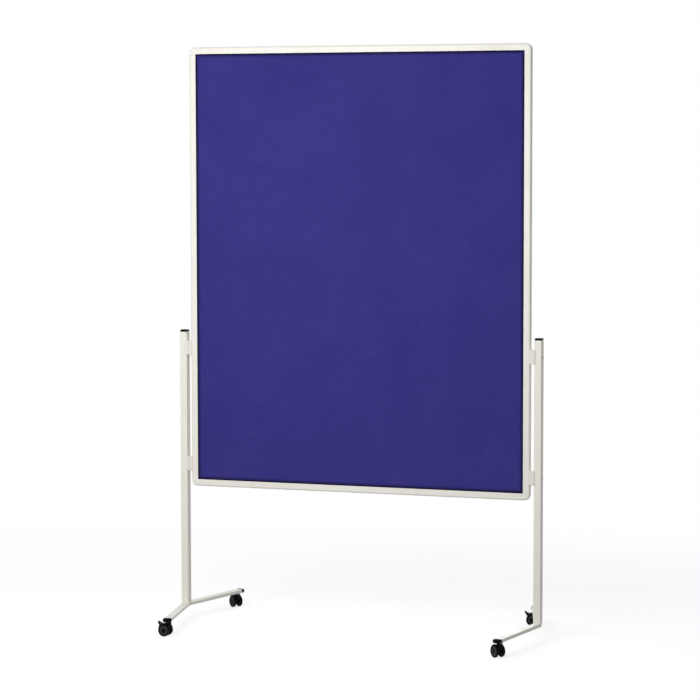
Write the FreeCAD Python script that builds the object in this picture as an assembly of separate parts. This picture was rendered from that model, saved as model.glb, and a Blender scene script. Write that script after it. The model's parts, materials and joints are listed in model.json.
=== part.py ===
# Mobile pinboard: a felt board in a rounded frame, held between two posts on V-shaped feet
# with twin-wheel casters. Millimetres, +Z up, +X to the right seen from the front, front towards -Y.
# The origin lies on the floor, under the middle of the board.
import FreeCAD, Part
import math
import os

# Board
board_width = 1200.0
board_height = 1500.0
board_bottom = 472.0
frame_face = 23.0
frame_depth = 22.0
frame_round = 6.0
frame_wall = 1.8
frame_chamber = 10.0
lip_edge_round = 0.6
corner_radius = 20.0
corner_leg = 36.0
spigot_length = 24.0
spigot_fit = 0.15
panel_fit = 0.3
felt_thickness = 2.2
felt_rise = 0.4

# Posts and brackets
post_width = 25.0
post_depth = 30.0
post_wall = 1.5
post_round = 2.5
post_top = 1010.0
cap_height = 7.0
cap_inset = 1.0
cap_edge_chamfer = 1.2
cap_spigot = 16.0
tube_plug_fit = 0.2
bracket_gap = 14.5
bracket_height = 48.0
bracket_offset = 76.0
bracket_pitch = 400.0
bracket_grip = 4.0
bracket_lip = 2.0
bracket_fit = 0.2
bracket_edge_chamfer = 1.2
bolt_diameter = 6.0
bolt_hole_fit = 0.3
bolt_head_diameter = 11.0
bolt_head_height = 2.8
bolt_head_chamfer = 1.4
bolt_socket = 4.0
bolt_socket_depth = 1.8
nut_collar_diameter = 9.0
nut_flange_diameter = 12.0
nut_flange = 3.2
nut_fit = 0.05
bolt_end_gap = 1.0

# Feet
arm_width = 25.0
arm_height = 12.0
arm_wall = 1.5
arm_round = 2.5
arm_reach = 315.0
foot_splay_angle = 13.05
foot_turn_angle = 2.85
plug_head = 12.0
plug_lip = 0.6
plug_side_lip = 2.0
plug_round = 5.0
plug_edge_chamfer = 2.0
plug_spigot = 4.0

# Casters
caster_height = 51.0
caster_trail = 11.0
stem_inset = 24.0
wheel_diameter = 41.0
wheel_pair_width = 34.0
wheel_gap = 16.0
wheel_edge_chamfer = 2.0
wheel_rim = 3.5
wheel_dish = 2.5
wheel_disc = 3.0
wheel_ribs = 6
wheel_rib = 1.6
hub_diameter = 12.4
hub_cap_diameter = 15.0
hub_dimple_diameter = 5.0
hub_dimple = 0.8
axle_diameter = 6.0
axle_length = 26.0
axle_chamfer = 0.6
axle_press = 0.02
running_fit = 0.08
side_play = 0.3
hood_web = 12.0
hood_width = 28.0
hood_wall = 1.5
hood_wheel_gap = 0.8
hood_open_angle = 25.0
hood_edge_chamfer = 0.5
axle_boss_diameter = 15.0
web_boss_angle = 45.0
neck_diameter = 20.0
pin_boss_diameter = 15.0
pin_diameter = 9.0
pin_length = 21.0
collar_diameter = 22.0
collar_height = 3.0
stud_diameter = 8.0
stud_hole_fit = 0.2
stud_end_gap = 0.5
bush_diameter = 14.0
pedal_travel_angle = 12.0
pedal_pivot_angle = 52.0
pedal_pivot_gap = 0.5
pedal_hub_diameter = 5.0
pedal_width = 22.0
pedal_side_gap = 0.4
pedal_pin_diameter = 3.2
pedal_thickness = 2.8
pedal_shoe_gap = 0.4
pedal_start_angle = 37.0
pedal_window_depth = 2.3
tongue_width = 17.0
tongue_tip_width = 11.0
tongue_length = 15.0
tongue_slope_angle = 33.0
tongue_thickness = 3.2
tongue_tip_round = 1.0

# Trailing directions of the casters as they stand, counter-clockwise from +X, and where brakes sit
caster_heading = {
    "front_left": 176.0,
    "front_right": 138.0,
    "rear_left": 141.0,
    "rear_right": 188.0,
}
braked = ("front_left", "rear_right")

# Derived places
X = FreeCAD.Vector(1, 0, 0)
Y = FreeCAD.Vector(0, 1, 0)
Z = FreeCAD.Vector(0, 0, 1)
ORIGIN = FreeCAD.Vector(0, 0, 0)
board_centre = board_bottom + board_height / 2
panel_half_slot = frame_depth / 2 - frame_wall
core_half = panel_half_slot - felt_thickness
post_x = board_width / 2 + bracket_gap + post_width / 2
arm_bottom = caster_height
arm_top = arm_bottom + arm_height
tube_top = post_top - cap_height
bracket_levels = {
    "lower": board_bottom + bracket_offset,
    "upper": board_bottom + bracket_offset + bracket_pitch,
}
wheel_radius = wheel_diameter / 2
hood_inner = wheel_radius + hood_wheel_gap
hood_outer = hood_inner + hood_wall
neck_top = caster_height - collar_height - side_play
pin_bottom = neck_top + side_play - pin_length
pivot_radius = wheel_radius + pedal_pivot_gap + pedal_hub_diameter / 2


def vec(x, y, z=0.0):
    return FreeCAD.Vector(x, y, z)


def line(a, b):
    return Part.LineSegment(a, b).toShape()


def arc(a, middle, b):
    return Part.Arc(a, middle, b).toShape()


def face(edges):
    return Part.Face(Part.Wire(edges))


def polygon(points):
    return Part.Face(Part.makePolygon(list(points) + [points[0]]))


def box(low, high):
    return Part.makeBox(high[0] - low[0], high[1] - low[1], high[2] - low[2], vec(*low))


def turned(shape, axis, angle, centre=ORIGIN):
    moved = shape.copy()
    moved.rotate(centre, axis, angle)
    return moved


def shifted(shape, x, y, z):
    moved = shape.copy()
    moved.translate(vec(x, y, z))
    return moved


def rounded_rectangle(width, depth, radius):
    """Face in the XY plane, centred on the origin."""
    w = width / 2
    d = depth / 2
    k = radius * (1 - math.sqrt(0.5))
    edges = []
    for sx, sy in ((1, 1), (-1, 1), (-1, -1), (1, -1)):
        on_side = vec(sx * w, sy * (d - radius))
        on_end = vec(sx * (w - radius), sy * d)
        middle = vec(sx * (w - k), sy * (d - k))
        first, last = (on_side, on_end) if sx * sy > 0 else (on_end, on_side)
        edges.append(arc(first, middle, last))
    sides = [line(edges[i].Vertexes[-1].Point, edges[(i + 1) % 4].Vertexes[0].Point) for i in range(4)]
    ring = [edge for pair in zip(edges, sides) for edge in pair]
    return face(ring)


def rounded_tube(width, depth, radius, wall, length):
    """Tube along +Z from the XY plane."""
    outer = rounded_rectangle(width, depth, radius)
    inner = rounded_rectangle(width - 2 * wall, depth - 2 * wall, radius - wall)
    return outer.cut(inner).extrude(Z * length)


def d_profile(near, far, half_depth, radius):
    """Outline across a rail: its outer side at x = near has both corners rounded."""
    k = radius * (1 - math.sqrt(0.5))
    front = -half_depth
    edges = [
        line(vec(far, front), vec(near + radius, front)),
        arc(vec(near + radius, front), vec(near + k, front + k), vec(near, front + radius)),
        line(vec(near, front + radius), vec(near, half_depth - radius)),
        arc(vec(near, half_depth - radius), vec(near + k, half_depth - k), vec(near + radius, half_depth)),
        line(vec(near + radius, half_depth), vec(far, half_depth)),
        line(vec(far, half_depth), vec(far, front)),
    ]
    return face(edges)


def edges_where(shape, test):
    return [edge for edge in shape.Edges if test(edge)]


def along(edge, axis):
    """True for a straight edge parallel to the axis."""
    if not isinstance(edge.Curve, Part.Line):
        return False
    return abs(abs(edge.Curve.Direction.dot(axis)) - 1) < 1e-6


def seat_on_board(shape, angle, x, z):
    """Turn a frame piece about the board's axis and set it at its side or corner."""
    return shifted(turned(shape, Y, angle), x, 0, board_centre + z)


def rail_section():
    """Rail section: a closed chamber on the outside and a channel for the panel on the inside."""
    outer = d_profile(0, frame_face, frame_depth / 2, frame_round)
    chamber = d_profile(
        frame_wall, frame_chamber - frame_wall, frame_depth / 2 - frame_wall, frame_round - frame_wall
    )
    channel = polygon([
        vec(frame_chamber, -panel_half_slot),
        vec(frame_face, -panel_half_slot),
        vec(frame_face, panel_half_slot),
        vec(frame_chamber, panel_half_slot),
    ])
    return outer.cut(chamber).cut(channel)


def rail(length):
    """Rail along Z with its outer side at x = 0, centred on its length, with eased lip edges."""
    solid = shifted(rail_section().extrude(Z * length), 0, 0, -length / 2)
    tips = edges_where(solid, lambda e: along(e, Z) and abs(e.CenterOfMass.x - frame_face) < 1e-6
                       and abs(e.CenterOfMass.y) > panel_half_slot + 1e-6)
    return solid.makeFillet(lip_edge_round, tips)


def frame_rails():
    """The four rails between the corner pieces; side rails take a nut at each bracket."""
    tall = rail(board_height - 2 * corner_leg)
    wide = rail(board_width - 2 * corner_leg)
    for level in bracket_levels.values():
        start = vec(0, 0, level - board_centre)
        tall = tall.cut(Part.makeCylinder(nut_collar_diameter / 2 + nut_fit, frame_wall, start, X))
    mirrored = tall.mirror(ORIGIN, X)
    return {
        "left_rail": seat_on_board(tall, 0, -board_width / 2, 0),
        "right_rail": seat_on_board(mirrored, 0, board_width / 2, 0),
        "top_rail": seat_on_board(wide, 90, 0, board_height / 2),
        "bottom_rail": seat_on_board(wide, 270, 0, -board_height / 2),
    }


def corner_piece():
    """Top left corner, its sharp outer corner at the origin: legs run along +X and -Z."""
    r = corner_radius
    k = r * (1 - math.sqrt(0.5))
    half = frame_depth / 2
    outline = face([
        arc(vec(0, -half, -r), vec(k, -half, -k), vec(r, -half, 0)),
        line(vec(r, -half, 0), vec(corner_leg, -half, 0)),
        line(vec(corner_leg, -half, 0), vec(corner_leg, -half, -frame_face)),
        line(vec(corner_leg, -half, -frame_face), vec(frame_face, -half, -frame_face)),
        line(vec(frame_face, -half, -frame_face), vec(frame_face, -half, -corner_leg)),
        line(vec(frame_face, -half, -corner_leg), vec(0, -half, -corner_leg)),
        line(vec(0, -half, -corner_leg), vec(0, -half, -r)),
    ])
    solid = outline.extrude(Y * frame_depth)

    def outer_rim(edge):
        p = edge.valueAt((edge.FirstParameter + edge.LastParameter) / 2)
        on_face = abs(abs(p.y) - half) < 1e-6
        on_curve = abs(p.x) < 1e-6 or abs(p.z) < 1e-6 or not isinstance(edge.Curve, Part.Line)
        return on_face and on_curve

    solid = solid.makeFillet(frame_round, edges_where(solid, outer_rim))
    pocket = box(
        (frame_chamber, -panel_half_slot, -corner_leg),
        (corner_leg, panel_half_slot, -frame_chamber),
    )
    section = d_profile(
        frame_wall + spigot_fit,
        frame_chamber - frame_wall - spigot_fit,
        frame_depth / 2 - frame_wall - spigot_fit,
        frame_round - frame_wall - spigot_fit,
    )
    down = shifted(section.extrude(Z * -spigot_length), 0, 0, -corner_leg)
    across = shifted(turned(section.extrude(Z * spigot_length), Y, 90), corner_leg, 0, 0)
    return solid.cut(pocket).fuse([down, across]).removeSplitter()


def frame_corners():
    piece = corner_piece()
    w = board_width / 2
    h = board_height / 2
    return {
        "corner_top_left": seat_on_board(piece, 0, -w, h),
        "corner_top_right": seat_on_board(piece, 90, w, h),
        "corner_bottom_right": seat_on_board(piece, 180, w, -h),
        "corner_bottom_left": seat_on_board(piece, 270, -w, -h),
    }


def panel_pieces():
    """Core and felts: the felt margins lie under the lips, the seen field stands a little proud."""
    margin = frame_chamber + panel_fit
    field = frame_face + panel_fit
    core = box(
        (-board_width / 2 + margin, -core_half, board_bottom + margin),
        (board_width / 2 - margin, core_half, board_bottom + board_height - margin),
    )
    pinched = box(
        (-board_width / 2 + margin, -panel_half_slot, board_bottom + margin),
        (board_width / 2 - margin, -core_half, board_bottom + board_height - margin),
    )
    seen = box(
        (-board_width / 2 + field, -panel_half_slot - felt_rise, board_bottom + field),
        (board_width / 2 - field, -panel_half_slot, board_bottom + board_height - field),
    )
    front = pinched.fuse(seen).removeSplitter()
    return {"core_panel": core, "front_felt": front, "rear_felt": front.mirror(ORIGIN, Y)}


def bracket():
    """Right hand saddle: the frame's side at x = 0, the post's inner face at x = bracket_gap."""
    frame_side = frame_depth / 2 + bracket_fit + bracket_lip
    post_side = post_depth / 2 + bracket_fit + bracket_lip
    far = bracket_gap + bracket_grip
    step = bracket_gap / 2
    outline = polygon([
        vec(-bracket_grip, -frame_side),
        vec(step - bracket_lip, -frame_side),
        vec(step + bracket_lip, -post_side),
        vec(far, -post_side),
        vec(far, post_side),
        vec(step + bracket_lip, post_side),
        vec(step - bracket_lip, frame_side),
        vec(-bracket_grip, frame_side),
    ])
    solid = shifted(outline.extrude(Z * bracket_height), 0, 0, -bracket_height / 2)
    solid = solid.makeChamfer(bracket_edge_chamfer, solid.Edges)
    rail_side = d_profile(0, frame_face, frame_depth / 2 + bracket_fit, frame_round + bracket_fit)
    rail_room = shifted(turned(rail_side, Z, 180).extrude(Z * bracket_height), 0, 0, -bracket_height / 2)
    tube = rounded_rectangle(post_width, post_depth + 2 * bracket_fit, post_round + bracket_fit)
    tube_room = shifted(
        tube.extrude(Z * bracket_height), bracket_gap + post_width / 2, 0, -bracket_height / 2
    )
    solid = solid.cut(rail_room).cut(tube_room)
    hole = Part.makeCylinder(bolt_diameter / 2 + bolt_hole_fit, bracket_gap, ORIGIN, X)
    return solid.cut(hole)


def bolt():
    """Right hand bolt along -X: the head rests on the post's outer face, x = 0 is the frame's side."""
    seat = bracket_gap + post_width
    end = -(frame_chamber - frame_wall - bolt_end_gap)
    r = bolt_diameter / 2
    head = bolt_head_diameter / 2
    crown = seat + bolt_head_height
    profile = polygon([
        vec(end, 0),
        vec(end, r),
        vec(seat, r),
        vec(seat, head),
        vec(crown - bolt_head_chamfer, head),
        vec(crown, head - bolt_head_chamfer),
        vec(crown, 0),
    ])
    solid = profile.revolve(ORIGIN, X, 360)
    corners = []
    for i in range(6):
        a = math.radians(60 * i)
        corner = bolt_socket / math.sqrt(3)
        corners.append(vec(crown - bolt_socket_depth, corner * math.cos(a), corner * math.sin(a)))
    return solid.cut(polygon(corners).extrude(X * bolt_socket_depth))


def clinch_nut():
    """Right hand nut: a collar in the rail's outer wall and a flange inside the chamber."""
    collar = Part.makeCylinder(nut_collar_diameter / 2, frame_wall, vec(-frame_wall, 0, 0), X)
    flange = Part.makeCylinder(nut_flange_diameter / 2, nut_flange, vec(-frame_wall - nut_flange, 0, 0), X)
    length = frame_wall + nut_flange
    bore = Part.makeCylinder(bolt_diameter / 2 + nut_fit, length, vec(-length, 0, 0), X)
    return collar.fuse(flange).removeSplitter().cut(bore)


def post():
    """Right hand post with the bolt holes of both brackets."""
    tube = rounded_tube(post_width, post_depth, post_round, post_wall, tube_top - arm_top)
    tube = shifted(tube, post_x, 0, arm_top)
    for level in bracket_levels.values():
        start = vec(post_x - post_width / 2, 0, level)
        tube = tube.cut(Part.makeCylinder(bolt_diameter / 2 + bolt_hole_fit, post_width, start, X))
    return tube


def tube_plug(tube, outline, head, edge_chamfer, spigot):
    """Plug along +Z: its head stands on the tube's end at z = 0, its spigot hangs inside."""
    width, depth, radius, wall = tube
    top = rounded_rectangle(*outline).extrude(Z * head)
    rim = edges_where(top, lambda e: abs(e.BoundBox.ZMin - head) < 1e-6)
    top = top.makeChamfer(edge_chamfer, rim)
    inset = wall + tube_plug_fit
    body = rounded_rectangle(width - 2 * inset, depth - 2 * inset, max(radius - inset, tube_plug_fit))
    return top.fuse(body.extrude(Z * -spigot)).removeSplitter()


def post_cap():
    tube = (post_width, post_depth, post_round, post_wall)
    outline = (post_width - 2 * cap_inset, post_depth - 2 * cap_inset, post_round - cap_inset)
    plug = tube_plug(tube, outline, cap_height, cap_edge_chamfer, cap_spigot)
    return shifted(plug, post_x, 0, tube_top)


def foot_place(shape, front):
    """Swing a piece built along -Y or +Y from the post's axis into the right hand foot."""
    swing = -foot_splay_angle if front else foot_splay_angle
    return shifted(turned(shape, Z, swing), post_x, 0, 0)


def whole_foot_turn(shape):
    return turned(shape, Z, foot_turn_angle, vec(post_x, 0, 0))


def stem_offset(front):
    """Distance of the caster stem from the post's axis, signed along Y before the arm is swung."""
    reach = arm_reach - stem_inset
    return -reach if front else reach


def arm(front):
    """Right hand foot tube, mitred at the post's axis, with the stud's hole in its lower wall."""
    outward = -1 if front else 1
    overrun = arm_width
    length = arm_reach - plug_head
    tube = rounded_tube(arm_width, arm_height, arm_round, arm_wall, length + overrun)
    tube = turned(tube, X, 90 if front else -90)
    tube = shifted(tube, 0, -outward * overrun, arm_bottom + arm_height / 2)
    hole_radius = stud_diameter / 2 + stud_hole_fit
    hole = Part.makeCylinder(hole_radius, arm_wall, vec(0, stem_offset(front), arm_bottom))
    tube = foot_place(tube.cut(hole), front)
    waste_y = 0 if front else -2 * overrun
    waste = box(
        (post_x - 2 * overrun, waste_y, arm_bottom),
        (post_x + 2 * overrun, waste_y + 2 * overrun, arm_top),
    )
    return whole_foot_turn(tube.cut(waste))


def arm_plug(front):
    tube = (arm_width, arm_height, arm_round, arm_wall)
    outline = (arm_width + 2 * plug_side_lip, arm_height + 2 * plug_lip, plug_round)
    plug = tube_plug(tube, outline, plug_head, plug_edge_chamfer, plug_spigot)
    outward = -1 if front else 1
    plug = turned(plug, X, 90 if front else -90)
    plug = shifted(plug, 0, outward * (arm_reach - plug_head), arm_bottom + arm_height / 2)
    stem_y = stem_offset(front)
    bush_room = Part.makeCylinder(bush_diameter / 2 + tube_plug_fit, arm_height, vec(0, stem_y, arm_bottom))
    collar_room = Part.makeCylinder(collar_diameter / 2 + tube_plug_fit, plug_lip,
                                    vec(0, stem_y, arm_bottom - plug_lip))
    return whole_foot_turn(foot_place(plug.cut([bush_room, collar_room]), front))


def stem_bush():
    """Threaded bush around the stud, between the arm's lower and upper walls."""
    height = arm_height - 2 * arm_wall
    ring = Part.makeCylinder(bush_diameter / 2, height)
    ring = ring.cut(Part.makeCylinder(stud_diameter / 2 + nut_fit, height))
    return shifted(ring, 0, 0, arm_bottom + arm_wall)


def axle_point():
    return vec(caster_trail, 0, wheel_radius)


def polar(radius, angle):
    """Point in the caster's upright plane, from the axle; angle counted up from the trailing side."""
    a = math.radians(angle)
    return vec(caster_trail + radius * math.cos(a), 0, wheel_radius + radius * math.sin(a))


def sector(inner, outer, start, end):
    """Ring sector in the caster's upright plane."""
    middle = (start + end) / 2
    return face([
        arc(polar(outer, start), polar(outer, middle), polar(outer, end)),
        line(polar(outer, end), polar(inner, end)),
        arc(polar(inner, end), polar(inner, middle), polar(inner, start)),
        line(polar(inner, start), polar(outer, start)),
    ])


def across(profile, width):
    """Extrude a face of the upright plane to both sides of it."""
    return shifted(profile.extrude(Y * width), 0, -width / 2, 0)


def rod(centre, diameter, width):
    """Cylinder along Y, centred on the upright plane."""
    return Part.makeCylinder(diameter / 2, width, vec(centre.x, -width / 2, centre.z), Y)


def caster_stem():
    """Fixed pin with a collar under the arm and a stud in the bush."""
    collar_bottom = caster_height - collar_height
    stud_top = arm_top - arm_wall - stud_end_gap
    outline = [
        vec(0, 0, pin_bottom),
        vec(pin_diameter / 2, 0, pin_bottom),
        vec(pin_diameter / 2, 0, collar_bottom),
        vec(collar_diameter / 2, 0, collar_bottom),
        vec(collar_diameter / 2, 0, caster_height),
        vec(stud_diameter / 2, 0, caster_height),
        vec(stud_diameter / 2, 0, stud_top),
        vec(0, 0, stud_top),
    ]
    return polygon(outline).revolve(ORIGIN, Z, 360)


def caster_axle():
    r = axle_diameter / 2
    half = axle_length / 2
    outline = [
        vec(0, -half),
        vec(r - axle_chamfer, -half),
        vec(r, -half + axle_chamfer),
        vec(r, half - axle_chamfer),
        vec(r - axle_chamfer, half),
        vec(0, half),
    ]
    solid = polygon(outline).revolve(ORIGIN, Y, 360)
    return shifted(solid, caster_trail, 0, wheel_radius)


def caster_wheel():
    """Wheel on the +Y side: blind hub, dished outer face, ribbed pocket on the inside."""
    inner = wheel_gap / 2
    outer = wheel_pair_width / 2
    hub_start = hood_web / 2 + side_play
    bore = axle_diameter / 2 + running_fit
    bore_end = axle_length / 2 + side_play
    hub = hub_diameter / 2
    cap = hub_cap_diameter / 2
    dimple = hub_dimple_diameter / 2
    rim = wheel_radius - wheel_rim
    dish = outer - wheel_dish
    cap_level = outer - wheel_dish / 2
    edge = wheel_edge_chamfer
    outline = [
        vec(0, bore_end),
        vec(bore, bore_end),
        vec(bore, hub_start),
        vec(hub, hub_start),
        vec(hub, dish - wheel_disc),
        vec(rim, dish - wheel_disc),
        vec(rim, inner),
        vec(wheel_radius - edge, inner),
        vec(wheel_radius, inner + edge),
        vec(wheel_radius, outer - edge),
        vec(wheel_radius - edge, outer),
        vec(rim, outer),
        vec(rim - wheel_dish, dish),
        vec(cap + wheel_dish, dish),
        vec(cap, cap_level),
        vec(dimple + hub_dimple, cap_level),
        vec(dimple, cap_level - hub_dimple),
        vec(0, cap_level - hub_dimple),
    ]
    solid = polygon(outline).revolve(ORIGIN, Y, 360)
    ribs = []
    for i in range(wheel_ribs):
        web = box(
            (hub - wheel_rib / 2, inner + wheel_rib, -wheel_rib / 2),
            (rim + wheel_rib / 2, dish - wheel_disc, wheel_rib / 2),
        )
        ribs.append(turned(web, Y, 360.0 * i / wheel_ribs))
    return shifted(solid.fuse(ribs).removeSplitter(), caster_trail, 0, wheel_radius)


def hood_web_face():
    """Middle wall of the hood: under the arch, narrowing down to a boss round the axle."""
    start = hood_open_angle
    end = 180 - hood_open_angle
    boss = axle_boss_diameter / 2
    return face([
        arc(polar(hood_outer, start), polar(hood_outer, 90), polar(hood_outer, end)),
        line(polar(hood_outer, end), polar(boss, end + web_boss_angle)),
        arc(polar(boss, end + web_boss_angle), polar(boss, 270), polar(boss, start - web_boss_angle)),
        line(polar(boss, start - web_boss_angle), polar(hood_outer, start)),
    ])


def hood_arch():
    """Arch over both wheels: a wall with eased outer edges, revolved about the axle."""
    half = hood_width / 2
    c = hood_edge_chamfer
    section = polygon([
        vec(hood_inner, -half),
        vec(hood_outer - c, -half),
        vec(hood_outer, -half + c),
        vec(hood_outer, half - c),
        vec(hood_outer - c, half),
        vec(hood_inner, half),
    ])
    span = 180 - 2 * hood_open_angle
    solid = turned(section.revolve(ORIGIN, Y, -span), Y, -hood_open_angle)
    return shifted(solid, caster_trail, 0, wheel_radius)


def pedal_pivot():
    return polar(pivot_radius, pedal_pivot_angle)


def caster_hood(with_brake):
    """Arched hood over both wheels, with a neck and a bore for the stem's pin."""
    neck = Part.makeCylinder(neck_diameter / 2, neck_top - wheel_radius, vec(0, 0, wheel_radius))
    neck = neck.cut(rod(axle_point(), 2 * hood_inner, 2 * neck_diameter))
    pin_boss = Part.makeCylinder(pin_boss_diameter / 2, neck_top - pin_bottom + hood_wall,
                                 vec(0, 0, pin_bottom - hood_wall))
    boss_half = wheel_gap / 2 - side_play
    pin_boss = pin_boss.common(box((-hood_width, -boss_half, 0), (hood_width, boss_half, caster_height)))
    solid = hood_arch().fuse([neck, pin_boss, across(hood_web_face(), hood_web)])
    if with_brake:
        solid = fit_brake(solid)
    bore_floor = pin_bottom - side_play
    bore = Part.makeCylinder(pin_diameter / 2 + running_fit, neck_top - bore_floor, vec(0, 0, bore_floor))
    collar_room = Part.makeCylinder(collar_diameter / 2 + side_play, collar_height, vec(0, 0, neck_top))
    axle_hole = rod(axle_point(), axle_diameter + 2 * axle_press, hood_web)
    return solid.cut([bore, collar_room, axle_hole]).removeSplitter()


def fit_brake(solid):
    """Window in the hood's trailing side, with an ear each side for the pedal's pivot."""
    room = pedal_width + 2 * pedal_side_gap
    hub_room = math.degrees((pedal_hub_diameter / 2 + pedal_side_gap) / pivot_radius)
    cut = sector(hood_inner - pedal_window_depth, hood_outer + hood_wall, 0, pedal_pivot_angle + hub_room)
    window = across(cut, room)
    pivot = pedal_pivot()
    half_angle = math.degrees(pedal_hub_diameter / 2 / pivot_radius)
    foot = polygon([
        polar(hood_inner, pedal_pivot_angle - 2 * half_angle),
        polar(pivot_radius, pedal_pivot_angle - half_angle),
        polar(pivot_radius, pedal_pivot_angle + half_angle),
        polar(hood_inner, pedal_pivot_angle + 2 * half_angle),
    ])
    eye = rod(pivot, pedal_hub_diameter, hood_width)
    ears = across(foot, hood_width).fuse(eye)
    ears = ears.cut(box((-hood_width, -room / 2, 0), (2 * hood_width, room / 2, caster_height)))
    wheel_room = rod(axle_point(), 2 * hood_inner, hood_width)
    pin_hole = rod(pivot, pedal_pin_diameter + 2 * running_fit, hood_width)
    return solid.cut(window).fuse(ears.cut(wheel_room)).cut(pin_hole)


def swung_up(shape):
    """A piece of the pedal drawn pressed on the wheels, swung up to rest."""
    return turned(shape, Y, -pedal_travel_angle, pedal_pivot())


def brake_pedal():
    """Pedal at rest: a shoe over the wheels, a hub with pivot pins and a foot tongue."""
    shoe = wheel_radius + pedal_shoe_gap
    crown = shoe + pedal_thickness
    plate = across(sector(shoe, crown, pedal_start_angle, pedal_pivot_angle), pedal_width)
    hub = rod(pedal_pivot(), pedal_hub_diameter, pedal_width)
    pins = rod(pedal_pivot(), pedal_pin_diameter, hood_width)
    heel = swung_up(Part.Vertex(polar(crown, pedal_start_angle))).Point
    return swung_up(plate).fuse([hub, pins, pedal_tongue(heel)]).removeSplitter()


def pedal_tongue(heel):
    """Wedge that runs out and up from the hub's crown; its underside comes down to the shoe's heel."""
    slope = math.radians(tongue_slope_angle)
    outwards = vec(math.cos(slope), 0, math.sin(slope))
    upwards = vec(-math.sin(slope), 0, math.cos(slope))
    root = pedal_pivot() + upwards * (pedal_hub_diameter / 2)
    tip = root + outwards * tongue_length
    side = polygon([pedal_pivot(), root, tip, tip - upwards * tongue_thickness, heel])
    taper = (tongue_width - tongue_tip_width) / 2 / tongue_length
    near = pedal_pivot().x - pedal_hub_diameter
    far = tip.x + tongue_thickness
    near_half = tongue_tip_width / 2 + taper * (tip.x - near)
    far_half = tongue_tip_width / 2 + taper * (tip.x - far)
    plan = polygon([
        vec(near, -near_half),
        vec(far, -far_half),
        vec(far, far_half),
        vec(near, near_half),
    ])
    solid = across(side, 2 * near_half).common(plan.extrude(Z * (tip.z + tongue_thickness)))
    return solid.makeFillet(tongue_tip_round, edges_where(solid, lambda e: e.BoundBox.XMin > tip.x - 1e-6))


def on_side(shape, side):
    """A right hand piece as it is, or its mirror image for the left."""
    return shape.mirror(ORIGIN, X) if side == "left" else shape


def stand_pieces():
    """Posts, brackets, bolts, nuts and feet: built for the right side and mirrored to the left."""
    pieces = {}
    bolts = []
    nuts = []
    bushes = []
    bare_bracket = bracket()
    for side in ("right", "left"):
        pieces[f"{side}_post"] = on_side(post(), side)
        pieces[f"{side}_post_cap"] = on_side(post_cap(), side)
        for level, height in bracket_levels.items():
            at_level = (board_width / 2, 0, height)
            pieces[f"{side}_{level}_bracket"] = on_side(shifted(bare_bracket, *at_level), side)
            bolts.append(on_side(shifted(bolt(), *at_level), side))
            nuts.append(on_side(shifted(clinch_nut(), *at_level), side))
        for end in ("front", "rear"):
            front = end == "front"
            pieces[f"{end}_{side}_arm"] = on_side(arm(front), side)
            pieces[f"{end}_{side}_arm_plug"] = on_side(arm_plug(front), side)
            bush = shifted(stem_bush(), 0, stem_offset(front), 0)
            bushes.append(on_side(whole_foot_turn(foot_place(bush, front)), side))
    pieces["bracket_bolts"] = Part.makeCompound(bolts)
    pieces["clinch_nuts"] = Part.makeCompound(nuts)
    pieces["stem_bushes"] = Part.makeCompound(bushes)
    return pieces


def stem_place(end, side):
    """Where a caster's stem stands on the floor plan."""
    front = end == "front"
    spot = whole_foot_turn(foot_place(Part.Vertex(0, stem_offset(front), 0), front)).Point
    return vec(spot.x if side == "right" else -spot.x, spot.y, 0)


def caster_pieces():
    """All four casters, each built round its stem and then turned to its trailing direction."""
    pieces = {}
    wheel = caster_wheel()
    for corner, heading in caster_heading.items():
        spot = stem_place(*corner.split("_"))
        parts = {
            "stem": caster_stem(),
            "hood": caster_hood(corner in braked),
            "axle": caster_axle(),
            "wheel_a": wheel,
            "wheel_b": wheel.mirror(ORIGIN, Y),
        }
        if corner in braked:
            parts["brake_pedal"] = brake_pedal()
        for name, shape in parts.items():
            pieces[f"{corner}_{name}"] = shifted(turned(shape, Z, heading), spot.x, spot.y, 0)
    return pieces


def main():
    os.makedirs("parts", exist_ok=True)
    pieces = {}
    pieces.update(panel_pieces())
    pieces.update(frame_rails())
    pieces.update(frame_corners())
    pieces.update(stand_pieces())
    pieces.update(caster_pieces())
    for name, shape in pieces.items():
        shape.exportStep(f"parts/{name}.step")


main()
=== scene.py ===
import json
import math

import bmesh
import bpy
from mathutils import Matrix, Vector, noise


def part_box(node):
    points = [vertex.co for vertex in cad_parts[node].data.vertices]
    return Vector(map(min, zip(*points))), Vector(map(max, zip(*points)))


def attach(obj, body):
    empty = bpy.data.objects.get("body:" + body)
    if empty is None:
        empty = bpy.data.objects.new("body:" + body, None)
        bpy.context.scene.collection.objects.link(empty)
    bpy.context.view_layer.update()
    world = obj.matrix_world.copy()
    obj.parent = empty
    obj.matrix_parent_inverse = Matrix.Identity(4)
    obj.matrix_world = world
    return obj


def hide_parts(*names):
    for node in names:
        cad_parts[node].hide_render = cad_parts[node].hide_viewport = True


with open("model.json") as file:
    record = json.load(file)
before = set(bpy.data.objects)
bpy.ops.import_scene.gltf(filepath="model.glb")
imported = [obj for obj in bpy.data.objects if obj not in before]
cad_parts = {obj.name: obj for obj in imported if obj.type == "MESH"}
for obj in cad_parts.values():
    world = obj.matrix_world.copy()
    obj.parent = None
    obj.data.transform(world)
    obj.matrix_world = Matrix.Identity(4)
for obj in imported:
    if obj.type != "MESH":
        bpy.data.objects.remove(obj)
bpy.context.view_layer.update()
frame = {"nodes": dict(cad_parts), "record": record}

# Colours, 8-bit sRGB
FELT_BLUE = (53, 49, 126)
FELT_PALE = (66, 63, 141)
FELT_DEEP = (40, 34, 100)
FELT_SHEEN = (150, 150, 215)
# Painted shade for the felt's edge, where it dips under the frame's lip
FELT_PAINTED_SHADE = (14, 9, 40)
FRAME_WHITE = (238, 235, 227)
FRAME_SHADE = (231, 227, 217)
CORNER_WHITE = (236, 233, 226)
CORNER_SCUFF = (222, 217, 206)
POST_CREAM = (239, 236, 227)
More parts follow.
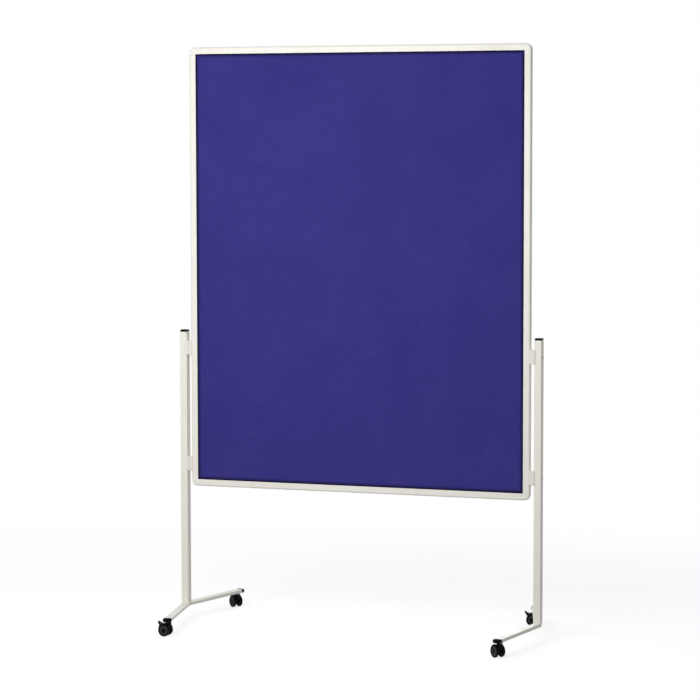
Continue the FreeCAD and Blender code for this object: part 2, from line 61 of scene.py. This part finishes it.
POST_SHADE = (232, 229, 219)
BRACKET_GREY = (230, 226, 217)
BRACKET_SCUFF = (205, 200, 190)
DUST_GREY = (120, 116, 108)
PLUG_BLACK = (5, 5, 6)
PLUG_SCUFF = (40, 39, 38)
CASTER_BLACK = (6, 6, 7)
CASTER_SCUFF = (48, 47, 46)
WHEEL_BLACK = (7, 7, 8)
WHEEL_SCUFF = (60, 58, 56)
# Painted highlight on the moulded ring of each wheel's face
WHEEL_HIGHLIGHT_GREY = (62, 61, 60)
ZINC = (176, 178, 180)
ZINC_DULL = (120, 122, 124)
FIBRE_PALE = (188, 160, 118)
FIBRE_DARK = (132, 104, 70)
FLOOR_WHITE = (168, 168, 168)

# Full white in a shader
WHITE = (1.0, 1.0, 1.0, 1.0)

# Patterns of the materials. A scale is in noise cells per metre, levels are the noise values between which
# a pattern sets in, a tint is how far it takes the colour at most, and a height is its relief in metres.
MIDDLE_LEVELS = (0.3, 0.7)

FELT_CLOUD_SCALE = 4.5
FELT_CLOUD_TINT = 0.35
FELT_TUFT_SCALE = 75.0
FELT_TUFT_LEVELS = (0.25, 0.75)
FELT_TUFT_TINT = 0.30
FELT_TUFT_HEIGHT = 0.0006
FELT_FIBRE_SCALE = 260.0
FELT_FIBRE_STRETCH = (4.0, 1.0, 0.6)
FELT_FIBRE_TILTS = (34, -41)
FELT_FIBRE_LEVELS = (0.52, 0.72)
FELT_FIBRE_TINT = 0.35
FELT_FIBRE_HEIGHT = 0.0005
# Painted shade along the felt's edge under the frame's lip: its width in metres and its greatest share
EDGE_SHADE_WIDTH = 0.016
EDGE_SHADE = 0.95

PAINT_DRIFT_SCALE = 3.0
PAINT_DRIFT_TINT = 0.5
PAINT_DUST_SCALE = 38.0
PAINT_DUST_LEVELS = (0.52, 0.80)
PAINT_DUST_TINT = 0.10
PAINT_RUB_SCALE = 22.0
PAINT_ROUGHNESS = (0.34, 0.48)
PAINT_PEEL_SCALE = 700.0
PAINT_PEEL_HEIGHT = 0.0002

FLOW_SCALE = 45.0
SCUFF_SCALE = 120.0
SCUFF_LEVELS = (0.58, 0.85)
SCUFF_TINT = 0.22
GRAIN_HEIGHT = 0.00012
FINE_GRAIN_SCALE = 2200.0
PALE_GRAIN_SCALE = 1500.0
WHEEL_GRAIN_SCALE = 1400.0
CORNER_ROUGHNESS = (0.36, 0.46)
BRACKET_ROUGHNESS = (0.40, 0.52)
BLACK_ROUGHNESS = (0.42, 0.58)
WHEEL_ROUGHNESS = (0.34, 0.5)
PALE_SHINE = 0.45
BLACK_SHINE = 0.06

ZINC_LINE_SCALE = 420.0
ZINC_LINE_STRETCH = (1.0, 1.0, 0.08)
ZINC_LINE_HEIGHT = 0.0001
ZINC_CLOUD_SCALE = 160.0
ZINC_ROUGHNESS = (0.28, 0.45)

BOARD_FIBRE_SCALE = 500.0
BOARD_FIBRE_LEVELS = (0.35, 0.65)
BOARD_FIBRE_HEIGHT = 0.0004

# Painted highlight, a paler ring on the wheels' dished faces: its inner and outer radius and how softly it
# ends
RING_INNER = 0.0082
RING_OUTER = 0.0145
RING_BLUR = 0.0012

# Colour sockets of the mix node, whose inputs share their names with those for numbers
MIX_FIRST = 6
MIX_SECOND = 7
MIX_RESULT = 2

# Felt sheets: the mesh's step, the waves of the field, the margin under the frame's lip and the place of the
# mesh line in it, and the groove along the lip. Its finer mesh and its slope both start under the lip.
FELT_STEP = 0.012
FELT_WAVE = 0.00012
FELT_WAVE_SCALE = 9.0
LIP_COVER = 0.0127
PINCHED_SHARE = 0.6
GROOVE_DEPTH = 0.0012
GROOVE_WIDTH = 0.006
GROOVE_LEAD = GROOVE_WIDTH / 4
GROOVE_CELLS = 6
GROOVE_HIDDEN = GROOVE_WIDTH / 6

# Welds at the foot of each post: the bead's leg, its ripples (a turn is in half circles for each step),
# the points of its section, how far that is hollowed, and how its ends thin out
WELD_LEG = 0.0028
WELD_STEP = 0.0008
WELD_RIPPLE = 0.0003
WELD_RIPPLE_TURN = 0.8
WELD_POINTS = 6
WELD_HOLLOW = 0.22
WELD_END = 0.35
WELD_TAPER = 8

# Camera: place, direction (compass angle from +Y towards -X, tilt below the horizon) and roll in degrees,
# lens and sensor in millimetres
CAMERA_PLACE = (2.7366, -8.1555, 1.6787)
CAMERA_TURN = 18.7243
CAMERA_TILT = 4.8086
CAMERA_ROLL = -0.0902
CAMERA_LENS = 132.1685
CAMERA_SENSOR = 36.0

# Light and stage
WORLD_LIGHT = 0.38
KEY_PLACE = (-0.4, -2.2, 1.8)
KEY_SIZE = 1.6
KEY_POWER = 45.5
FILL_PLACE = (4.2, -4.0, 2.2)
FILL_SIZE = 3.0
FILL_POWER = 6.0
BACK_PLACE = (-0.4, 4.5, 2.4)
BACK_SIZE = 3.0
BACK_POWER = 60.0
LIGHT_TARGET = (0.0, 0.0, 1.1)
FLOOR_HALF = 60.0
FLOOR_LIFT = 0.73
FLOOR_NEAR = 1.2
FLOOR_FAR = 3.2


def linear(rgb):
    """Linear colour with alpha from 8-bit sRGB values."""
    shares = [value / 255 for value in rgb]
    return [s / 12.92 if s <= 0.04045 else ((s + 0.055) / 1.055) ** 2.4 for s in shares] + [1.0]


class Surface:
    """A material with a principled shader, and short ways to add and join its nodes."""

    def __init__(self, name, **settings):
        self.material = bpy.data.materials.new(name)
        self.material.use_nodes = True
        self.tree = self.material.node_tree
        self.shader = self.tree.nodes["Principled BSDF"]
        for socket, value in settings.items():
            self.feed(self.shader.inputs[socket.replace("_", " ")], value)
        self.place = self.node("ShaderNodeTexCoord").outputs["Object"]

    def feed(self, socket, value):
        """Link another node's output to a socket, or set the socket itself where the value is constant."""
        if isinstance(value, bpy.types.NodeSocket):
            self.tree.links.new(value, socket)
        else:
            socket.default_value = value

    def node(self, kind, inputs=None, **settings):
        """New node with its settings made and its inputs fed."""
        made = self.tree.nodes.new(kind)
        for name, value in settings.items():
            setattr(made, name, value)
        for name, value in (inputs or {}).items():
            self.feed(made.inputs[name], value)
        return made

    def noise(self, scale, detail=2.0, rough=0.5, swirl=0.0, stretch=None, turn=(0.0, 0.0, 0.0)):
        """Noise value of about 0 to 1 over the object, stretched and turned where asked."""
        place = self.place
        if stretch:
            place = self.node("ShaderNodeMapping", {
                "Vector": place, "Rotation": turn, "Scale": stretch,
            }).outputs["Vector"]
        return self.node("ShaderNodeTexNoise", {
            "Vector": place, "Scale": scale, "Detail": detail, "Roughness": rough, "Distortion": swirl,
        }).outputs["Fac"]

    def ranged(self, value, low, high, to_low=0.0, to_high=1.0):
        """Value eased from one range to another."""
        return self.node("ShaderNodeMapRange", {
            "Value": value, "From Min": low, "From Max": high, "To Min": to_low, "To Max": to_high,
        }, interpolation_type="SMOOTHSTEP").outputs["Result"]

    def math(self, operation, first, second=0.0):
        """Result of one operation on one or two values."""
        return self.node("ShaderNodeMath", {0: first, 1: second}, operation=operation).outputs["Value"]

    def mix(self, share, first, second):
        """Colour between two others."""
        made = self.node("ShaderNodeMix", {"Factor": share}, data_type="RGBA")
        self.feed(made.inputs[MIX_FIRST], first)
        self.feed(made.inputs[MIX_SECOND], second)
        return made.outputs[MIX_RESULT]

    def tint(self, colour, pattern, most, other):
        """Colour that goes towards another, by at most the given share, where the pattern is 1."""
        return self.mix(self.math("MULTIPLY", pattern, most), colour, linear(other))

    def bump(self, height, strength, depth, below=None):
        """Relief from a height pattern, over other relief where given."""
        inputs = {"Height": height, "Strength": strength, "Distance": depth}
        if below:
            inputs["Normal"] = below
        return self.node("ShaderNodeBump", inputs).outputs["Normal"]

    def finish(self, colour=None, roughness=None, normal=None):
        """The material, with what varies over the surface fed to its shader."""
        for name, value in (("Base Color", colour), ("Roughness", roughness), ("Normal", normal)):
            if value is not None:
                self.feed(self.shader.inputs[name], value)
        return self.material


def felt_material(half_width, half_height, centre_z):
    """Needled felt: cloudy blue with crossing fibres, and shade painted in where it dips under the frame's
    lip.
    """
    felt = Surface("blue_felt", Sheen_Weight=0.18, Sheen_Roughness=0.45, Sheen_Tint=linear(FELT_SHEEN),
                   Specular_IOR_Level=0.15, Roughness=0.95)
    cloud = felt.ranged(felt.noise(FELT_CLOUD_SCALE, detail=4.0, rough=0.6), *MIDDLE_LEVELS)
    tuft = felt.ranged(felt.noise(FELT_TUFT_SCALE, detail=5.0, rough=0.7, swirl=0.6), *FELT_TUFT_LEVELS)
    rising, falling = [
        felt.noise(FELT_FIBRE_SCALE, detail=3.0, rough=0.6, swirl=1.5, stretch=FELT_FIBRE_STRETCH,
                   turn=(0.0, math.radians(tilt), 0.0))
        for tilt in FELT_FIBRE_TILTS
    ]
    fibre = felt.math("MAXIMUM", rising, falling)
    colour = felt.tint(linear(FELT_BLUE), cloud, FELT_CLOUD_TINT, FELT_PALE)
    colour = felt.tint(colour, tuft, FELT_TUFT_TINT, FELT_DEEP)
    strand = felt.ranged(fibre, *FELT_FIBRE_LEVELS)
    colour = felt.tint(colour, strand, FELT_FIBRE_TINT, FELT_PALE)
    # Painted shade: the felt darkens over the last strip of its field, where it dips under the frame's lip
    parts = felt.node("ShaderNodeSeparateXYZ", {"Vector": felt.place})
    across = felt.math("SUBTRACT", felt.math("ABSOLUTE", parts.outputs["X"]), half_width)
    level = felt.math("SUBTRACT", parts.outputs["Z"], centre_z)
    along = felt.math("SUBTRACT", felt.math("ABSOLUTE", level), half_height)
    painted_lip_shade = felt.ranged(felt.math("MAXIMUM", across, along), -EDGE_SHADE_WIDTH, 0.0, 0.0, EDGE_SHADE)
    colour = felt.mix(painted_lip_shade, colour, linear(FELT_PAINTED_SHADE))
    lumps = felt.bump(tuft, strength=0.5, depth=FELT_TUFT_HEIGHT)
    relief = felt.bump(fibre, strength=0.6, depth=FELT_FIBRE_HEIGHT, below=lumps)
    return felt.finish(colour, normal=relief)


def powder_coat(name, colour, shade):
    """Sprayed paint: a faint drift of tone, a little dust, fine orange peel and rubbed, glossier patches."""
    paint = Surface(name, Specular_IOR_Level=0.45)
    drift = paint.ranged(paint.noise(PAINT_DRIFT_SCALE, detail=3.0), *MIDDLE_LEVELS)
    dust = paint.ranged(paint.noise(PAINT_DUST_SCALE, detail=6.0, rough=0.65), *PAINT_DUST_LEVELS)
    tone = paint.tint(linear(colour), drift, PAINT_DRIFT_TINT, shade)
    tone = paint.tint(tone, dust, PAINT_DUST_TINT, DUST_GREY)
    gloss = paint.ranged(paint.noise(PAINT_RUB_SCALE, detail=4.0), *MIDDLE_LEVELS, *PAINT_ROUGHNESS)
    peel = paint.noise(PAINT_PEEL_SCALE)
    return paint.finish(tone, gloss, paint.bump(peel, strength=0.12, depth=PAINT_PEEL_HEIGHT))


def painted_highlight_ring(surface, centre, axis):
    """Share of the painted highlight: 1 on the ring round an axis between the ring's two radii, 0 elsewhere.
    """
    offset = surface.node("ShaderNodeVectorMath", {0: surface.place, 1: centre}, operation="SUBTRACT")
    swept = surface.node("ShaderNodeVectorMath", {0: offset.outputs["Vector"], 1: axis},
                         operation="CROSS_PRODUCT")
    radius = surface.node("ShaderNodeVectorMath", {0: swept.outputs["Vector"]}, operation="LENGTH")
    distance = radius.outputs["Value"]
    past_inner = surface.ranged(distance, RING_INNER - RING_BLUR, RING_INNER + RING_BLUR)
    before_outer = surface.ranged(distance, RING_OUTER - RING_BLUR, RING_OUTER + RING_BLUR, 1.0, 0.0)
    return surface.math("MULTIPLY", past_inner, before_outer)


def moulding(name, colour, scuff, rough, grain, shine, axle=None):
    """Moulded plastic: fine grain, faint flow marks and pale scuffs; on a wheel, a painted highlight ring
    round its axle.
    """
    plastic = Surface(name, Specular_IOR_Level=shine)
    flow = plastic.ranged(plastic.noise(FLOW_SCALE, detail=3.0, swirl=1.0), *MIDDLE_LEVELS)
    worn = plastic.ranged(plastic.noise(SCUFF_SCALE, detail=6.0, rough=0.7), *SCUFF_LEVELS)
    tone = plastic.tint(linear(colour), worn, SCUFF_TINT, scuff)
    if axle:
        # Painted highlight: the paler ring stands in for light caught on the wheel's moulded ring
        tone = plastic.mix(painted_highlight_ring(plastic, *axle), tone, linear(WHEEL_HIGHLIGHT_GREY))
    gloss = plastic.ranged(flow, 0.0, 1.0, *rough)
    relief = plastic.bump(plastic.noise(grain), strength=0.18, depth=GRAIN_HEIGHT)
    return plastic.finish(tone, gloss, relief)


def pale_moulding(name, colour, scuff, rough):
    """The satin plastic of the corners and brackets."""
    return moulding(name, colour, scuff, rough, PALE_GRAIN_SCALE, PALE_SHINE)


def black_moulding(name, colour, scuff):
    """The dull black plastic of the plugs and casters."""
    return moulding(name, colour, scuff, BLACK_ROUGHNESS, FINE_GRAIN_SCALE, BLACK_SHINE)


def plated_steel():
    """Zinc plate: fine drawn lines and cloudy dullness."""
    steel = Surface("plated_steel", Metallic=1.0)
    lines = steel.noise(ZINC_LINE_SCALE, detail=3.0, rough=0.6, stretch=ZINC_LINE_STRETCH)
    cloud = steel.ranged(steel.noise(ZINC_CLOUD_SCALE, detail=4.0), *MIDDLE_LEVELS, *ZINC_ROUGHNESS)
    tone = steel.mix(lines, linear(ZINC), linear(ZINC_DULL))
    return steel.finish(tone, cloud, steel.bump(lines, strength=0.15, depth=ZINC_LINE_HEIGHT))


def soft_board():
    """Pressed fibre board: short pale and dark fibres."""
    board = Surface("soft_board", Specular_IOR_Level=0.1, Roughness=0.95)
    strands = board.noise(BOARD_FIBRE_SCALE, detail=5.0, rough=0.7, swirl=1.2)
    fibre = board.ranged(strands, *BOARD_FIBRE_LEVELS)
    tone = board.mix(fibre, linear(FIBRE_DARK), linear(FIBRE_PALE))
    return board.finish(tone, normal=board.bump(fibre, strength=0.6, depth=BOARD_FIBRE_HEIGHT))


def slot_materials(felt):
    """One material for each of the record's material slots, apart from the wheels' slot."""
    return {
        "blue_felt": felt,
        "soft_board": soft_board(),
        "frame_paint": powder_coat("frame_paint", FRAME_WHITE, FRAME_SHADE),
        "corner_plastic": pale_moulding("corner_plastic", CORNER_WHITE, CORNER_SCUFF, CORNER_ROUGHNESS),
        "bracket_plastic": pale_moulding("bracket_plastic", BRACKET_GREY, BRACKET_SCUFF, BRACKET_ROUGHNESS),
        "post_paint": powder_coat("post_paint", POST_CREAM, POST_SHADE),
        "plug_plastic": black_moulding("plug_plastic", PLUG_BLACK, PLUG_SCUFF),
        "caster_plastic": black_moulding("caster_plastic", CASTER_BLACK, CASTER_SCUFF),
        "plated_steel": plated_steel(),
    }


def wheel_materials():
    """One material for each wheel, with its painted highlight ring round the axis that the wheel spins
    about.
    """
    made = {}
    for joint in frame["record"]["behaviour"]["joints"]:
        if joint["name"].endswith("_spin"):
            axle = (joint["pos_m"], joint["axis"])
            made[joint["child"]] = moulding(f"{joint['child']}_plastic", WHEEL_BLACK, WHEEL_SCUFF,
                                            WHEEL_ROUGHNESS, WHEEL_GRAIN_SCALE, BLACK_SHINE, axle)
    return made


def dress_nodes(materials, wheels):
    """Give every node of the model the material of its slot, and every wheel its own."""
    for part in frame["record"]["subparts"]:
        node = part["node"]
        mesh = frame["nodes"][node].data
        mesh.materials.clear()
        mesh.materials.append(wheels.get(node) or materials[part["material_slot"]])


def new_object(name, mesh_maker, material):
    """Object in the scene with the mesh that the maker builds and one material."""
    shape = bmesh.new()
    mesh_maker(shape)
    bmesh.ops.recalc_face_normals(shape, faces=shape.faces)
    mesh = bpy.data.meshes.new(name)
    shape.to_mesh(mesh)
    shape.free()
    mesh.materials.append(material)
    made = bpy.data.objects.new(name, mesh)
    bpy.context.scene.collection.objects.link(made)
    return made


def stations(low, high):
    """Grid lines from low to high: close together over the covered margin and the groove, wider inside."""
    margin = [0.0, LIP_COVER * PINCHED_SHARE, LIP_COVER - GROOVE_LEAD]
    margin += [LIP_COVER + GROOVE_WIDTH * step / GROOVE_CELLS for step in range(GROOVE_CELLS + 2)]
    inner_low = low + margin[-1]
    inner_high = high - margin[-1]
    count = round((inner_high - inner_low) / FELT_STEP)
    inside = [inner_low + (inner_high - inner_low) * i / count for i in range(1, count)]
    return [low + m for m in margin] + inside + [high - m for m in reversed(margin)]


def smooth(share):
    """Ease from 0 to 1."""
    clamped = min(1.0, max(0.0, share))
    return clamped * clamped * (3 - 2 * clamped)


def felt_sheet(name, node, material):
    """Stretched felt: an even field, a soft groove along the lip and a margin pinched under it."""
    low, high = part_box(node)
    outward = -1.0 if low.y < 0 else 1.0
    face = outward * max(abs(low.y), abs(high.y))
    back = outward * min(abs(low.y), abs(high.y))
    xs = stations(low.x, high.x)
    zs = stations(low.z, high.z)

    def depth(x, z):
        inset = min(x - low.x, high.x - x, z - low.z, high.z - z)
        rise = smooth((inset - LIP_COVER + GROOVE_HIDDEN) / GROOVE_WIDTH)
        wave = FELT_WAVE * noise.noise(Vector((x, outward, z)) * FELT_WAVE_SCALE)
        return face - outward * (GROOVE_DEPTH * (1 - rise) + (FELT_WAVE + wave) * rise)

    def build(shape):
        grid = [[shape.verts.new((x, depth(x, z), z)) for x in xs] for z in zs]
        for row, above in zip(grid, grid[1:]):
            for i in range(len(xs) - 1):
                shape.faces.new((row[i], row[i + 1], above[i + 1], above[i]))
        rim = grid[0] + [row[-1] for row in grid[1:-1]] + grid[-1][::-1]
        rim += [row[0] for row in reversed(grid[1:-1])]
        rear = [shape.verts.new((v.co.x, back, v.co.z)) for v in rim]
        for i in range(len(rim)):
            after = (i + 1) % len(rim)
            shape.faces.new((rim[i], rim[after], rear[after], rear[i]))
        shape.faces.new(rear)

    sheet = new_object(name, build, material)
    sheet.data.shade_smooth()
    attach(sheet, "stand")
    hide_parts(node)


def weld_bead(name, start, end, outward, material):
    """Painted fillet weld along a post's lower edge, with the ripples of its passes."""
    run = end - start
    steps = round(run.length / WELD_STEP)

    def section(step):
        share = step / steps
        taper = smooth(min(share, 1 - share) * WELD_TAPER)
        leg = WELD_LEG + WELD_RIPPLE * math.cos(step * math.pi * WELD_RIPPLE_TURN)
        leg *= WELD_END + (1 - WELD_END) * taper
        spot = start + run * share
        points = [spot]
        for k in range(WELD_POINTS):
            angle = math.pi / 2 * k / (WELD_POINTS - 1)
            reach = leg * (1 - WELD_HOLLOW * math.sin(2 * angle))
            rise = Vector((0, 0, reach * math.sin(angle)))
            points.append(spot + outward * reach * math.cos(angle) + rise)
        return points

    def build(shape):
        rings = [[shape.verts.new(point) for point in section(step)] for step in range(steps + 1)]
        for ring, after in zip(rings, rings[1:]):
            for k in range(len(ring)):
                follow = (k + 1) % len(ring)
                shape.faces.new((ring[k], ring[follow], after[follow], after[k]))
        shape.faces.new(rings[0])
        shape.faces.new(rings[-1])

    bead = new_object(name, build, material)
    bead.data.shade_smooth()
    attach(bead, "stand")


def post_welds(material):
    """A bead along the front and the rear foot of each post."""
    for side in ("left", "right"):
        low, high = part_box(f"{side}_post")
        for end, y, facing in (("front", low.y, -1), ("rear", high.y, 1)):
            start, stop = [Vector((x, y, low.z)) for x in (low.x + WELD_LEG, high.x - WELD_LEG)]
            weld_bead(f"{side}_{end}_weld", start, stop, Vector((0, facing, 0)), material)


def light_path_share(tree):
    """1 for rays that see the backdrop: straight from the camera, mirrored or through glass."""
    path = tree.nodes.new("ShaderNodeLightPath")
    share = path.outputs["Is Camera Ray"]
    for name in ("Is Glossy Ray", "Is Transmission Ray"):
        highest = tree.nodes.new("ShaderNodeMath")
        highest.operation = "MAXIMUM"
        tree.links.new(share, highest.inputs[0])
        tree.links.new(path.outputs[name], highest.inputs[1])
        share = highest.outputs["Value"]
    return share


def studio_world():
    """White to the eye, and a plain even light on the object."""
    world = bpy.data.worlds.new("studio")
    world.use_nodes = True
    tree = world.node_tree
    lit = tree.nodes["Background"]
    lit.inputs["Color"].default_value = WHITE
    lit.inputs["Strength"].default_value = WORLD_LIGHT
    seen = tree.nodes.new("ShaderNodeBackground")
    seen.inputs["Color"].default_value = WHITE
    seen.inputs["Strength"].default_value = 1.0
    either = tree.nodes.new("ShaderNodeMixShader")
    tree.links.new(light_path_share(tree), either.inputs["Fac"])
    tree.links.new(lit.outputs["Background"], either.inputs[1])
    tree.links.new(seen.outputs["Background"], either.inputs[2])
    tree.links.new(either.outputs["Shader"], tree.nodes["World Output"].inputs["Surface"])
    bpy.context.scene.world = world


def floor_material():
    """Pale floor that takes shadows near the object and runs out into the white backdrop."""
    material = bpy.data.materials.new("studio_floor")
    material.use_nodes = True
    tree = material.node_tree
    tree.nodes.remove(tree.nodes["Principled BSDF"])
    matt = tree.nodes.new("ShaderNodeBsdfDiffuse")
    matt.inputs["Color"].default_value = linear(FLOOR_WHITE)
    lift = tree.nodes.new("ShaderNodeEmission")
    lift.inputs["Strength"].default_value = FLOOR_LIFT
    lifted = tree.nodes.new("ShaderNodeAddShader")
    white = tree.nodes.new("ShaderNodeEmission")
    white.inputs["Strength"].default_value = 1.0
    place = tree.nodes.new("ShaderNodeTexCoord")
    distance = tree.nodes.new("ShaderNodeVectorMath")
    distance.operation = "LENGTH"
    away = tree.nodes.new("ShaderNodeMapRange")
    away.interpolation_type = "SMOOTHSTEP"
    away.inputs["From Min"].default_value = FLOOR_NEAR
    away.inputs["From Max"].default_value = FLOOR_FAR
    seen = tree.nodes.new("ShaderNodeMixShader")
    either = tree.nodes.new("ShaderNodeMixShader")
    tree.links.new(matt.outputs["BSDF"], lifted.inputs[0])
    tree.links.new(lift.outputs["Emission"], lifted.inputs[1])
    tree.links.new(place.outputs["Object"], distance.inputs[0])
    tree.links.new(distance.outputs["Value"], away.inputs["Value"])
    tree.links.new(away.outputs["Result"], seen.inputs["Fac"])
    tree.links.new(lifted.outputs["Shader"], seen.inputs[1])
    tree.links.new(white.outputs["Emission"], seen.inputs[2])
    tree.links.new(light_path_share(tree), either.inputs["Fac"])
    tree.links.new(matt.outputs["BSDF"], either.inputs[1])
    tree.links.new(seen.outputs["Shader"], either.inputs[2])
    tree.links.new(either.outputs["Shader"], tree.nodes["Material Output"].inputs["Surface"])
    return material


def studio_floor():
    """Wide flat floor under the casters."""

    def build(shape):
        corners = [(-1, -1), (1, -1), (1, 1), (-1, 1)]
        shape.faces.new([shape.verts.new((x * FLOOR_HALF, y * FLOOR_HALF, 0)) for x, y in corners])

    floor = new_object("floor", build, floor_material())


def soft_box(name, place, size, power):
    """Square lamp aimed at the board."""
    lamp = bpy.data.lights.new(name, "AREA")
    lamp.shape = "SQUARE"
    lamp.size = size
    lamp.energy = power
    made = bpy.data.objects.new(name, lamp)
    made.location = place
    aim = Vector(LIGHT_TARGET) - Vector(place)
    made.rotation_euler = aim.to_track_quat("-Z", "Y").to_euler()
    made.visible_camera = False
    bpy.context.scene.collection.objects.link(made)


def photo_camera():
    """Camera at the viewing angle of the photograph."""
    turn = math.radians(CAMERA_TURN)
    tilt = math.radians(CAMERA_TILT)
    ahead = Vector((-math.sin(turn) * math.cos(tilt), math.cos(turn) * math.cos(tilt), -math.sin(tilt)))
    lens = bpy.data.cameras.new("camera")
    lens.lens = CAMERA_LENS
    lens.sensor_width = CAMERA_SENSOR
    camera = bpy.data.objects.new("camera", lens)
    level = ahead.to_track_quat("-Z", "Y").to_matrix()
    roll = Matrix.Rotation(math.radians(CAMERA_ROLL), 3, "Z")
    camera.matrix_world = Matrix.Translation(CAMERA_PLACE) @ (level @ roll).to_4x4()
    bpy.context.scene.collection.objects.link(camera)
    bpy.context.scene.camera = camera


felt_low, felt_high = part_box("front_felt")
field_half_width = (felt_high.x - felt_low.x) / 2 - LIP_COVER
field_half_height = (felt_high.z - felt_low.z) / 2 - LIP_COVER
felt_blue = felt_material(field_half_width, field_half_height, (felt_high.z + felt_low.z) / 2)
finishes = slot_materials(felt_blue)
dress_nodes(finishes, wheel_materials())
felt_sheet("front_felt_sheet", "front_felt", felt_blue)
felt_sheet("rear_felt_sheet", "rear_felt", felt_blue)
post_welds(finishes["post_paint"])
studio_world()
studio_floor()
soft_box("key", KEY_PLACE, KEY_SIZE, KEY_POWER)
soft_box("fill", FILL_PLACE, FILL_SIZE, FILL_POWER)
soft_box("back", BACK_PLACE, BACK_SIZE, BACK_POWER)
photo_camera()
bpy.context.scene.view_settings.view_transform = "Standard"
